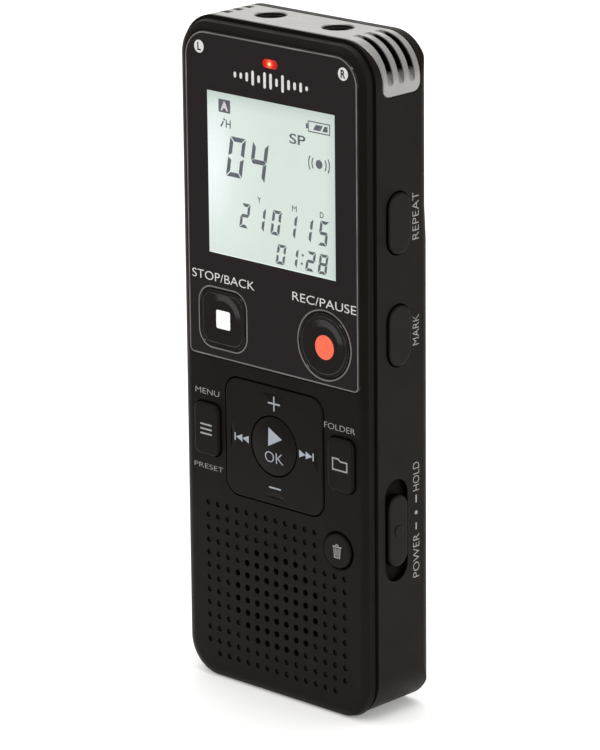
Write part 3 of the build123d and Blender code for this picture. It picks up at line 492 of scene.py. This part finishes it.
MATERIALS = {
    "shell_black": shell_black(),
    "key_matte": key_matte(),
    "panel_black": panel_black(),
    "key_black": key_black(),
    "trim_silver": trim_silver(),
    "window_clear": window_clear(),
    "lcd_green": lcd_green(),
    "led_red": led_red(),
    "mesh_cloth": mesh_cloth(),
    "white_plastic": plain_moulding("white_plastic", srgb(228, 228, 224), 0.5),
    "board_green": plain_moulding("board_green", srgb(18, 84, 50), 0.35),
    "chip_black": plain_moulding("chip_black", srgb(28, 28, 29), 0.55),
    "jack_black": plain_moulding("jack_black", srgb(22, 21, 20), 0.4),
    "foam_rubber": plain_moulding("foam_rubber", srgb(36, 35, 34), 0.8),
    "cone_film": plain_moulding("cone_film", srgb(150, 140, 118), 0.4),
    "flex_amber": plain_moulding("flex_amber", srgb(176, 108, 34), 0.3),
    "nickel": plain_metal("nickel", srgb(196, 192, 184), 0.3),
    "magnet_dark": plain_metal("magnet_dark", srgb(120, 120, 122), 0.4),
    "pouch_foil": plain_metal("pouch_foil", srgb(206, 207, 210), 0.38),
    "ink_white": ink("ink_white", srgb(214, 212, 210)),
    "ink_grey": ink("ink_grey", srgb(150, 150, 150)),
    "ink_blue_grey": ink("ink_blue_grey", srgb(158, 164, 172)),
    "ink_orange": ink("ink_orange", srgb(246, 104, 72)),
    "lcd_ink": ink("lcd_ink", srgb(24, 28, 60), 0.5),
    "stop_white": ink("stop_white", srgb(250, 250, 250)),
    "painted_edge_highlight": painted_edge_highlight(),
}


def paint_nodes():
    """Gives every CAD node the material of its slot."""
    slots = {entry["node"]: entry["material_slot"] for entry in frame["record"]["subparts"]}
    for name, thing in frame["nodes"].items():
        material = MATERIALS[slots[name]]
        thing.data.materials.clear()
        thing.data.materials.append(material)
        for slot in thing.material_slots:
            slot.material = material


# ---- flat outlines, as (across, up) points ----
def rectangle(left, bottom, right, top):
    return [(left, bottom), (right, bottom), (right, top), (left, top)]


def disc(at, radius, steps=48):
    turns = [2 * math.pi * step / steps for step in range(steps)]
    return [(at[0] + radius * math.cos(a), at[1] + radius * math.sin(a)) for a in turns]


def arc_points(at, radius, start, end, steps=16):
    """Points on an arc, angles in degrees."""
    angles = [math.radians(start + (end - start) * step / steps) for step in range(steps + 1)]
    return [(at[0] + radius * math.cos(a), at[1] + radius * math.sin(a)) for a in angles]


def rounded_square(at, half, radius):
    """Square with rounded corners, anticlockwise."""
    points = []
    for turn, (side_x, side_z) in enumerate(((1, 1), (-1, 1), (-1, -1), (1, -1))):
        corner = (at[0] + side_x * (half - radius), at[1] + side_z * (half - radius))
        points += arc_points(corner, radius, 90 * turn, 90 * turn + 90, 6)
    return points


def rounded_frame(box, low_r, high_r, inset=0.0):
    """Outline set in from a rectangle that has its own radius at its lower and upper corners."""
    left, bottom, right, top = box
    corners = (
        (right, top, -1, -1, high_r, 0),
        (left, top, 1, -1, high_r, 90),
        (left, bottom, 1, 1, low_r, 180),
        (right, bottom, -1, 1, low_r, 270),
    )
    points = []
    for x, z, into_x, into_z, radius, start in corners:
        corner = (x + into_x * radius, z + into_z * radius)
        points += arc_points(corner, radius - inset, start, start + 90, 12)
    return points


def ring(outer, inner):
    """Plates between two outlines with the same number of points."""
    count = len(outer)
    plates = []
    for index in range(count):
        after = (index + 1) % count
        plates.append([outer[index], outer[after], inner[after], inner[index]])
    return plates


def opening_plates(outer, inner):
    """Four plates that leave a rectangular opening."""
    left, bottom, right, top = outer
    in_left, in_bottom, in_right, in_top = inner
    return [
        rectangle(left, bottom, in_left, top),
        rectangle(in_right, bottom, right, top),
        rectangle(in_left, bottom, in_right, in_bottom),
        rectangle(in_left, in_top, in_right, top),
    ]


def turned_left(outline):
    """The outline with its points running anticlockwise."""
    area = 0.0
    for (x1, y1), (x2, y2) in zip(outline, outline[1:] + outline[:1]):
        area += x1 * y2 - x2 * y1
    return outline if area > 0 else outline[::-1]


def stroke(points, width, closed=False):
    """Quads along a line of points, with mitred corners."""
    count = len(points)
    sides = []
    for index in range(count):
        here = Vector(points[index])
        before = Vector(points[index - 1]) if closed or index > 0 else None
        after = Vector(points[(index + 1) % count]) if closed or index < count - 1 else None
        into = (here - before).normalized() if before is not None else None
        out = (after - here).normalized() if after is not None else None
        into = into or out
        out = out or into
        across = Vector((-(into.y + out.y), into.x + out.x)).normalized()
        reach = width / 2 / max(0.3, across.dot(Vector((-into.y, into.x))))
        sides.append((here + across * reach, here - across * reach))
    last = count if closed else count - 1
    quads = []
    for index in range(last):
        one, two = sides[index], sides[(index + 1) % count]
        quads.append([tuple(p) for p in (one[1], two[1], two[0], one[0])])
    return quads


SEGMENTS = {
    "0": "abcdef",
    "1": "bc",
    "2": "abged",
    "4": "fgbc",
    "5": "afgcd",
    "8": "abcdefg",
}
LEAN = 0.17


def digit(character, left, bottom, width, height, bar):
    """Leaning seven-segment figure: each bar is a slim tapered plate."""
    gap = bar * 0.2
    middle = height / 2
    corners = {
        "a": ((0, height), (width, height)),
        "b": ((width, height), (width, middle)),
        "c": ((width, middle), (width, 0)),
        "d": ((width, 0), (0, 0)),
        "e": ((0, 0), (0, middle)),
        "f": ((0, middle), (0, height)),
        "g": ((0, middle), (width, middle)),
    }
    plates = []
    for name in SEGMENTS[character]:
        start, end = (Vector(point) for point in corners[name])
        along = (end - start).normalized()
        inward = Vector((along.y, -along.x))
        a, b = start + along * gap, end - along * gap
        if name == "g":
            half = inward * bar / 2
            tip = along * bar / 2
            outline = [a + tip + half, a, a + tip - half, b - tip - half, b, b - tip + half]
        else:
            mitred_ends = {"b": (1, 0), "c": (0, 1), "e": (1, 0), "f": (0, 1)}.get(name, (1, 1))
            cut = [bar if full else bar / 2 for full in mitred_ends]
            outline = [a, b, b - along * cut[1] + inward * bar, a + along * cut[0] + inward * bar]
        plates.append([(left + p.x + p.y * LEAN, bottom + p.y) for p in outline])
    return plates


# ---- thin printed pieces ----
INK_THICKNESS = 0.02
INK_SUNK = 0.006
WELD = 0.0005
CELL = 0.45
FRONT = Matrix(((1, 0, 0, 0), (0, 0, -1, 0), (0, 1, 0, 0), (0, 0, 0, 1)))
RIGHT_SIDE = Matrix(((0, 0, 1, 0), (0, -1, 0, 0), (1, 0, 0, 0), (0, 0, 0, 1)))


def front_place(y):
    """A plane that faces the front, as (matrix, height along its outward axis)."""
    return FRONT, -y


def side_place(x):
    """A plane that faces right, with its lettering read from the bottom up."""
    return RIGHT_SIDE, x


def add_object(name, shape, material):
    """New object of a mesh, linked into the scene."""
    shape.materials.append(material)
    thing = bpy.data.objects.new(name, shape)
    bpy.context.scene.collection.objects.link(thing)
    return thing


def lettering(mesh, text, left, bottom, right, top, weight=0.0):
    """Adds built-in font lettering that fills a box; weight makes its strokes bolder or thinner."""
    curve = bpy.data.curves.new("lettering", "FONT")
    curve.body = text
    curve.resolution_u = 5
    curve.offset = weight
    thing = bpy.data.objects.new("lettering", curve)
    bpy.context.scene.collection.objects.link(thing)
    bpy.context.view_layer.update()
    evaluated = thing.evaluated_get(bpy.context.evaluated_depsgraph_get())
    shape = bpy.data.meshes.new_from_object(evaluated)
    bpy.data.objects.remove(thing)
    xs = [v.co.x for v in shape.vertices]
    ys = [v.co.y for v in shape.vertices]
    scale_x = (right - left) / (max(xs) - min(xs))
    scale_y = (top - bottom) / (max(ys) - min(ys))
    for vertex in shape.vertices:
        vertex.co.x = left + (vertex.co.x - min(xs)) * scale_x
        vertex.co.y = bottom + (vertex.co.y - min(ys)) * scale_y
        vertex.co.z = 0.0
    mesh.from_mesh(shape)
    bpy.data.meshes.remove(shape)


def cut_into_cells(mesh):
    """Cuts flat faces along a grid, so that they can follow a curved surface."""
    for axis, direction in ((0, Vector((1, 0, 0))), (1, Vector((0, 1, 0)))):
        values = [v.co[axis] for v in mesh.verts]
        steps = int((max(values) - min(values)) / CELL)
        for step in range(1, steps + 1):
            point = direction * (min(values) + step * CELL)
            geometry = list(mesh.verts) + list(mesh.edges) + list(mesh.faces)
            bmesh.ops.bisect_plane(mesh, geom=geometry, plane_co=point, plane_no=direction)


def printed(
    name,
    look,
    place,
    outlines=(),
    words=(),
    body="case",
    relief=None,
    thick=INK_THICKNESS,
):
    """One thin raised piece from flat outlines and lettering.

    look names its material; relief gives the surface's own height at a point, for marks on a domed key.
    """
    mesh = bmesh.new()
    for outline in outlines:
        corners = [mesh.verts.new((x, y, 0.0)) for x, y in outline]
        mesh.faces.new(corners)
    for word in words:
        lettering(mesh, *word)
    bmesh.ops.remove_doubles(mesh, verts=mesh.verts, dist=WELD)
    if relief is not None:
        cut_into_cells(mesh)
    for face in mesh.faces:
        if face.normal.z < 0:
            face.normal_flip()
    base = list(mesh.faces)
    made = bmesh.ops.extrude_face_region(mesh, geom=base)
    raised = [item for item in made["geom"] if isinstance(item, bmesh.types.BMVert)]
    for vertex in mesh.verts:
        vertex.co.z = -INK_SUNK
    for vertex in raised:
        vertex.co.z = thick
    if relief is not None:
        for vertex in mesh.verts:
            vertex.co.z += relief(vertex.co.x, vertex.co.y)
    bmesh.ops.recalc_face_normals(mesh, faces=mesh.faces)
    matrix, surface = place
    shape = bpy.data.meshes.new(name)
    mesh.to_mesh(shape)
    mesh.free()
    shape.transform(Matrix.Scale(MM, 4) @ matrix @ Matrix.Translation((0, 0, surface)))
    thing = add_object(name, shape, MATERIALS[look])
    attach(thing, body)


# ---- display ----
DIGIT_ROWS = (
    # figures, left edge and pitch, bottom, width, height, bar
    ("04", (-10.1, 4.55), 78.15, 3.15, 6.05, 0.68),
    ("210115", (-7.55, 3.12), 70.85, 1.75, 3.72, 0.48),
    ("01", (-0.3, 2.45), 66.62, 1.7, 3.0, 0.44),
    ("28", (5.55, 2.45), 66.62, 1.7, 3.0, 0.44),
)
DISPLAY_WORDS = (
    # word, left, bottom, right, top, weight
    ("SP", 2.7, 85.0, 5.85, 86.5, 0.012),
    ("H", -10.0, 85.3, -9.0, 86.5, 0.01),
    ("Y", -3.8, 75.1, -3.1, 76.0, 0.01),
    ("M", 3.1, 74.98, 4.0, 75.88, 0.0),
    ("D", 8.55, 74.93, 9.3, 75.83, 0.01),
)
COLON_DOTS = ((4.92, 67.5), (5.1, 68.78))
COLON_R = 0.2
BATTERY = (6.45, 87.35, 10.6, 88.85)
CHARGE_LOW, CHARGE_HIGH = 87.68, 88.5
SIGNAL_AT = (8.48, 82.78)
SIGNAL_DOT_R = 0.66
SIGNAL_WAVES = ((1.38, 34), (2.02, 30))
MODE_BOX = (-11.42, 87.5, -9.05, 89.45)
MODE_LETTER = ("A", -11.0, 87.78, -9.47, 89.2, 0.04)


def battery_icon():
    """Outlined cell with its tip and two leaning charge bars."""
    left, bottom, _, top = BATTERY
    plates = stroke(rectangle(*BATTERY), 0.16, closed=True)
    plates.append(rectangle(left - 0.47, bottom + 0.37, left - 0.11, top - 0.39))
    for foot, foot_end, head_end, head in ((7.4, 8.8, 9.28, 7.88), (9.15, 10.2, 10.2, 9.63)):
        plates.append([
            (foot, CHARGE_LOW),
            (foot_end, CHARGE_LOW),
            (head_end, CHARGE_HIGH),
            (head, CHARGE_HIGH),
        ])
    return plates


def signal_icon():
    """Dot with two waves on either side."""
    plates = [disc(SIGNAL_AT, SIGNAL_DOT_R)]
    for radius, half_angle in SIGNAL_WAVES:
        for side in (0, 180):
            points = arc_points(SIGNAL_AT, radius, side - half_angle, side + half_angle)
            plates += stroke(points, 0.2)
    return plates


def display_marks():
    """Everything that the display shows: figures, icons, letters and the mode box."""
    plates = []
    for figures, (left, pitch), bottom, width, height, bar in DIGIT_ROWS:
        for index, figure in enumerate(figures):
            plates += digit(figure, left + pitch * index, bottom, width, height, bar)
    plates += [disc(dot, COLON_R, 16) for dot in COLON_DOTS]
    plates += battery_icon() + signal_icon()
    plates += stroke([(-11.0, 85.35), (-10.45, 86.2)], 0.26)
    plates.append(disc((-10.3, 86.5), 0.17, 12))
    place = front_place(LCD_Y)
    printed("display_segments", "lcd_ink", place, plates, DISPLAY_WORDS)
    printed("display_mode_box", "lcd_ink", place, [rectangle(*MODE_BOX)])
    printed("display_mode_letter", "ink_white", front_place(LCD_Y - INK_THICKNESS), (), [MODE_LETTER])


WINDOW_INNER = (-12.6, 66.5, 12.62, 90.8)
BORDER_OVERLAP = 0.25
BORDER_THICKNESS = 0.008
WALL_INSET = 0.14
WALL_CLEARANCE = 0.05


def display_border(x_low, x_high, z_low, z_high):
    """Black border printed over the clear window's joint with the panel."""
    over = BORDER_OVERLAP
    outer = (x_low - over, z_low - over, x_high + over, z_high + over)
    plates = opening_plates(outer, WINDOW_INNER)
    printed("display_border", "panel_black", front_place(PANEL_Y), plates, thick=BORDER_THICKNESS)


def painted_display_edge_glow(x_low, x_high, z_low, z_high):
    """Glowing sheet on the left and lower walls of the window's opening: painted light from the display
    behind it.
    """
    left, bottom = WINDOW_INNER[:2]
    right, top = x_high - WALL_CLEARANCE, z_high - WALL_CLEARANCE
    wall_x, wall_z = x_low + WALL_INSET, z_low + WALL_INSET
    front, back = PANEL_Y + 0.03, LCD_Y - 0.06
    corners = [
        (left, front, bottom),
        (left, front, top),
        (wall_x, back, top),
        (wall_x, back, wall_z),
        (right, front, bottom),
        (right, back, wall_z),
    ]
    shape = bpy.data.meshes.new("painted_display_edge_glow")
    shape.from_pydata([Vector(corner) * MM for corner in corners], [], [(0, 1, 2, 3), (0, 3, 5, 4)])
    thing = add_object("painted_display_edge_glow", shape, MATERIALS["lcd_green"])
    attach(thing, "case")


def display_mask():
    """Black border and the painted glow on the walls, placed from the clear window."""
    window = (*span("display_window", X), *span("display_window", Z))
    display_border(*window)
    painted_display_edge_glow(*window)


# ---- glossy panel ----
LEGEND_LOW, LEGEND_HIGH = 62.15, 63.45
CHANNEL_Z = 97.0
CHANNEL_R = 0.95
EDGE_LINE = 0.2
BAR_COUNT = 13
BAR_PITCH = 1.18
BAR_WIDTH = 0.5
BARS_AT = (0.2, 93.85)


def panel_legends():
    """Key names, and the left and right channel signs in the upper corners."""
    place = front_place(PANEL_Y)
    words = [
        ("STOP/BACK", -16.2, LEGEND_LOW, -3.55, LEGEND_HIGH, -0.006),
        ("REC/PAUSE", 4.05, LEGEND_LOW, 16.55, LEGEND_HIGH, -0.006),
    ]
    printed("panel_lettering", "ink_white", place, (), words)
    discs = [disc((x, CHANNEL_Z), CHANNEL_R) for x in (-14.08, 14.3)]
    printed("channel_discs", "ink_white", place, discs)
    low, high = CHANNEL_Z - 0.6, CHANNEL_Z + 0.6
    letters = [("L", -14.4, low, -13.72, high, 0.03), ("R", 13.86, low, 14.74, high, 0.03)]
    printed("channel_letters", "panel_black", front_place(PANEL_Y - INK_THICKNESS), (), letters)


def painted_panel_edge_highlights():
    """Painted highlight: thin light line round the glossy panel and round its two key openings."""
    x_low, x_high = span("front_panel", X)
    z_low, z_high = span("front_panel", Z)
    edge = PANEL_BEVEL * 0.6
    outer, inner = (
        rounded_frame((x_low, z_low, x_high, z_high), PANEL_LOW_R, PANEL_HIGH_R, inset)
        for inset in (edge, edge + EDGE_LINE)
    )
    plates = ring(outer, inner)
    away = KEY_GAP + OPENING_BEVEL
    x, z = STOP_AT
    half_x, half_z = STOP_HALF
    stop_outlines = []
    for grow in (away + EDGE_LINE, away):
        box = (x - half_x - grow, z - half_z - grow, x + half_x + grow, z + half_z + grow)
        stop_outlines.append(rounded_frame(box, STOP_R + grow, STOP_R + grow))
    plates += ring(*stop_outlines)
    plates += ring(disc(REC_AT, REC_R + away + EDGE_LINE, 72), disc(REC_AT, REC_R + away, 72))
    printed("painted_panel_edge_highlights", "painted_edge_highlight", front_place(PANEL_Y), plates)


def sound_bars():
    """Generic mark over the display: a row of round-ended bars, tallest in the middle."""
    middle_x, middle_z = BARS_AT
    end_r = BAR_WIDTH / 2
    bars = []
    for index in range(BAR_COUNT):
        from_middle = index - (BAR_COUNT - 1) / 2
        x = middle_x + from_middle * BAR_PITCH
        swell = math.cos(from_middle / BAR_COUNT * math.pi)
        ripple = 0.62 + 0.38 * math.cos(index * 2.3)
        reach = 0.3 + 1.15 * swell * ripple - end_r
        top = arc_points((x, middle_z + reach), end_r, 0, 180, 8)
        low = arc_points((x, middle_z - reach), end_r, 180, 360, 8)
        bars.append(top + low)
    printed("sound_bars", "ink_white", front_place(PANEL_Y), bars)


# ---- marks on the keys ----
DISH_MARK = 0.03


def top_under(node, outline):
    """Plane through the frontmost point of a dished key top under a mark's outline."""
    thing = frame["nodes"][node]
    start = span(node, Y)[0] - 5.0
    inward = Vector((0.0, 1.0, 0.0))
    hits = [thing.ray_cast(Vector((x, start, z)) * MM, inward)[1].y / MM for x, z in outline]
    return front_place(min(hits))


def dome(at, radius, rise):
    """Height of a domed key top below its middle, as a function of the point."""
    ball = (radius**2 + rise**2) / (2 * rise)

    def height(x, y):
        return -((x - at[0]) ** 2 + (y - at[1]) ** 2) / (2 * ball)

    return height


def stop_and_rec_marks():
    """White square and orange dot, inlaid flat in the dished caps."""
    x, z = STOP_AT
    square = rounded_square((x + 0.12, z - 0.08), 1.4, 0.3)
    place = top_under("stop_button", square)
    printed("stop_mark", "stop_white", place, [square], body="stop_key", thick=DISH_MARK)
    x, z = REC_AT
    dot = disc((x + 0.1, z - 0.28), 1.83, 64)
    place = top_under("rec_button", dot)
    printed("rec_mark", "ink_orange", place, [dot], body="rec_key", thick=DISH_MARK)


def menu_mark():
    """Three lines."""
    x, z = MENU_AT
    half_length, half_width, pitch = 1.18, 0.13, 0.72
    lines = []
    for row in (-1, 0, 1):
        middle = z + row * pitch
        lines.append(rectangle(x - half_length, middle - half_width, x + half_length, middle + half_width))
    printed("menu_mark", "ink_grey", front_place(MENU_Y), lines, body="menu_key")


def folder_mark():
    """Outlined folder with its tab at the upper left."""
    x, z = FOLDER_AT
    folder = [
        (x - 1.4, z - 0.75),
        (x + 1.4, z - 0.75),
        (x + 1.4, z + 0.62),
        (x + 0.1, z + 0.62),
        (x - 0.3, z + 0.95),
        (x - 1.4, z + 0.95),
    ]
    outline = stroke(folder, 0.22, closed=True)
    printed("folder_mark", "ink_grey", front_place(MENU_Y), outline, body="folder_key")


def delete_mark():
    """Bin with three slats, a lid and its handle."""
    x, z = DELETE_AT
    can = [(x - 0.62, z + 0.5), (x - 0.5, z - 1.0), (x + 0.5, z - 1.0), (x + 0.62, z + 0.5)]
    handle = [(x - 0.26, z + 0.76), (x - 0.2, z + 0.98), (x + 0.2, z + 0.98), (x + 0.26, z + 0.76)]
    plates = stroke(can, 0.16)
    for dx in (-0.24, 0.0, 0.24):
        plates += stroke([(x + dx, z - 0.8), (x + dx * 1.1, z + 0.4)], 0.12)
    plates.append(rectangle(x - 0.85, z + 0.55, x + 0.85, z + 0.74))
    plates += stroke(handle, 0.12)
    printed("delete_mark", "ink_grey", front_place(DELETE_Y), plates, body="delete_key")


def pad_marks():
    """Plus, minus and the two skip signs on the pad."""
    x, z = PAD_AT
    marks = [
        rectangle(x - 1.1, z + 6.43, x + 1.3, z + 6.67),
        rectangle(x - 0.02, z + 5.45, x + 0.22, z + 6.41),
        rectangle(x - 0.02, z + 6.69, x + 0.22, z + 7.65),
        rectangle(x - 1.05, z - 6.55, x + 1.3, z - 6.31),
    ]
    half, arrow = 0.58, 1.3
    for side in (-1, 1):
        near, far = sorted((side * 7.75, side * 8.0))
        marks.append(rectangle(x + near, z - half, x + far, z + half))
        for tip in (7.7, 6.4):
            tail = x + side * (tip - arrow)
            marks.append(turned_left([(x + side * tip, z), (tail, z + half), (tail, z - half)]))
    printed("pad_marks", "ink_blue_grey", front_place(PAD_Y), marks, body="nav_plate")


def ok_marks():
    """Play sign and OK on the domed middle key."""
    x, z = PAD_AT
    play = [(x - 0.95, z - 0.05), (x + 1.77, z + 1.4), (x - 0.95, z + 2.8)]
    word = [("OK", x - 1.7, z - 2.5, x + 1.95, z - 0.85, -0.012)]
    bulge = dome(PAD_AT, OK_R, OK_RISE)
    printed("ok_marks", "ink_blue_grey", front_place(OK_Y), [play], word, body="ok_key", relief=bulge)


# ---- legends on the case ----
SIDE_TEXT_BACK = 10.5
SIDE_TEXT_FRONT = 9.15


def face_legends():
    """Names of the menu and folder keys."""
    words = [
        ("MENU", -16.1, 44.35, -11.2, 45.2, -0.012),
        ("PRESET", -16.55, 32.75, -10.6, 33.5, -0.014),
        ("FOLDER", 10.0, 44.1, 16.03, 45.0, -0.014),
    ]
    printed("face_lettering", "ink_grey", front_place(FACE_Y), (), words)


def side_legends():
    """Lettering on the right side, read from the bottom up."""
    low, high = -(FACE_Y + SIDE_TEXT_BACK), -(FACE_Y + SIDE_TEXT_FRONT)
    words = [
        ("REPEAT", 71.85, low, 78.8, high, -0.01),
        ("MARK", 56.1, low, 60.6, high, -0.01),
        ("POWER", 20.7, low, 27.35, high, -0.01),
        ("HOLD", 34.0, low, 38.37, high, -0.01),
    ]
    middle = (low + high) / 2
    marks = [
        rectangle(28.05, middle - 0.13, 29.1, middle + 0.13),
        disc((30.67, middle), 0.3, 24),
        rectangle(32.2, middle - 0.13, 33.35, middle + 0.13),
    ]
    printed("side_lettering", "ink_grey", side_place(SIDE_X), marks, words)


# ---- stage, in metres ----
FLOOR_HALF = 3.0
FLAG_NEAR, FLAG_FAR, FLAG_HALF_WIDTH, FLAG_HEIGHT = 0.1, 0.5, 1.5, 0.002


def stage_sheet(name, x_low, y_low, x_high, y_high, z, material):
    """Flat level sheet, such as the floor or the flag card."""
    shape = bpy.data.meshes.new(name)
    corners = [(x_low, y_low, z), (x_high, y_low, z), (x_high, y_high, z), (x_low, y_high, z)]
    shape.from_pydata(corners, [], [(0, 1, 2, 3)])
    thing = add_object(name, shape, material)
    return thing


def floor():
    """Plain pale floor that lifts its own shadows a little."""
    finish = Finish("floor_white", (0.93, 0.93, 0.93, 1.0), 0.9, Specular_IOR_Level=0.1)
    finish.glow((1.0, 1.0, 1.0, 1.0), 0.18)
    stage_sheet("floor", -FLOOR_HALF, -FLOOR_HALF, FLOOR_HALF, FLOOR_HALF, 0.0, finish.material)


def flag():
    """Dark card low in front, seen only in the glossy faces' reflections."""
    finish = Finish("flag_card", srgb(60, 58, 58), 0.9, Specular_IOR_Level=0.05)
    finish.vary_colour(80.0, 0.9, 1.1)
    width = FLAG_HALF_WIDTH
    card = stage_sheet("flag", -width, -FLAG_FAR, width, -FLAG_NEAR, FLAG_HEIGHT, finish.material)
    card.visible_camera = False
    card.visible_shadow = False
    card.visible_diffuse = False


def area_light(name, place, size, power):
    """Soft rectangular light in metres and watts, turned to the middle of the case."""
    data = bpy.data.lights.new(name, "AREA")
    data.shape = "RECTANGLE"
    data.size, data.size_y = size
    data.energy = power
    thing = bpy.data.objects.new(name, data)
    thing.location = place
    direction = Vector((0.0, 0.0, 0.05)) - Vector(place)
    thing.rotation_euler = direction.to_track_quat("-Z", "Y").to_euler()
    bpy.context.scene.collection.objects.link(thing)


def lights():
    """Pale surroundings and five soft lights."""
    world = bpy.data.worlds.new("studio")
    bpy.context.scene.world = world
    world.use_nodes = True
    background = world.node_tree.nodes["Background"]
    background.inputs["Color"].default_value = (1.0, 0.985, 0.965, 1.0)
    background.inputs["Strength"].default_value = 0.6
    area_light("overhead", (0.0, 0.15, 1.1), (1.0, 1.0), 6.0)
    area_light("back_left", (-0.8, 0.55, 0.75), (0.9, 0.9), 2.8)
    area_light("front_left", (-0.7, -0.8, 0.7), (0.5, 0.7), 1.5)
    area_light("right", (1.0, -0.1, 0.38), (0.35, 0.5), 2.8)
    area_light("front_top", (0.3, -0.62, 0.75), (0.7, 0.12), 1.4)


# ---- the scene ----
make_camera()
paint_nodes()
display_marks()
display_mask()
panel_legends()
painted_panel_edge_highlights()
sound_bars()
stop_and_rec_marks()
menu_mark()
folder_mark()
delete_mark()
pad_marks()
ok_marks()
face_legends()
side_legends()
floor()
flag()
lights()
bpy.context.scene.view_settings.view_transform = "Standard"
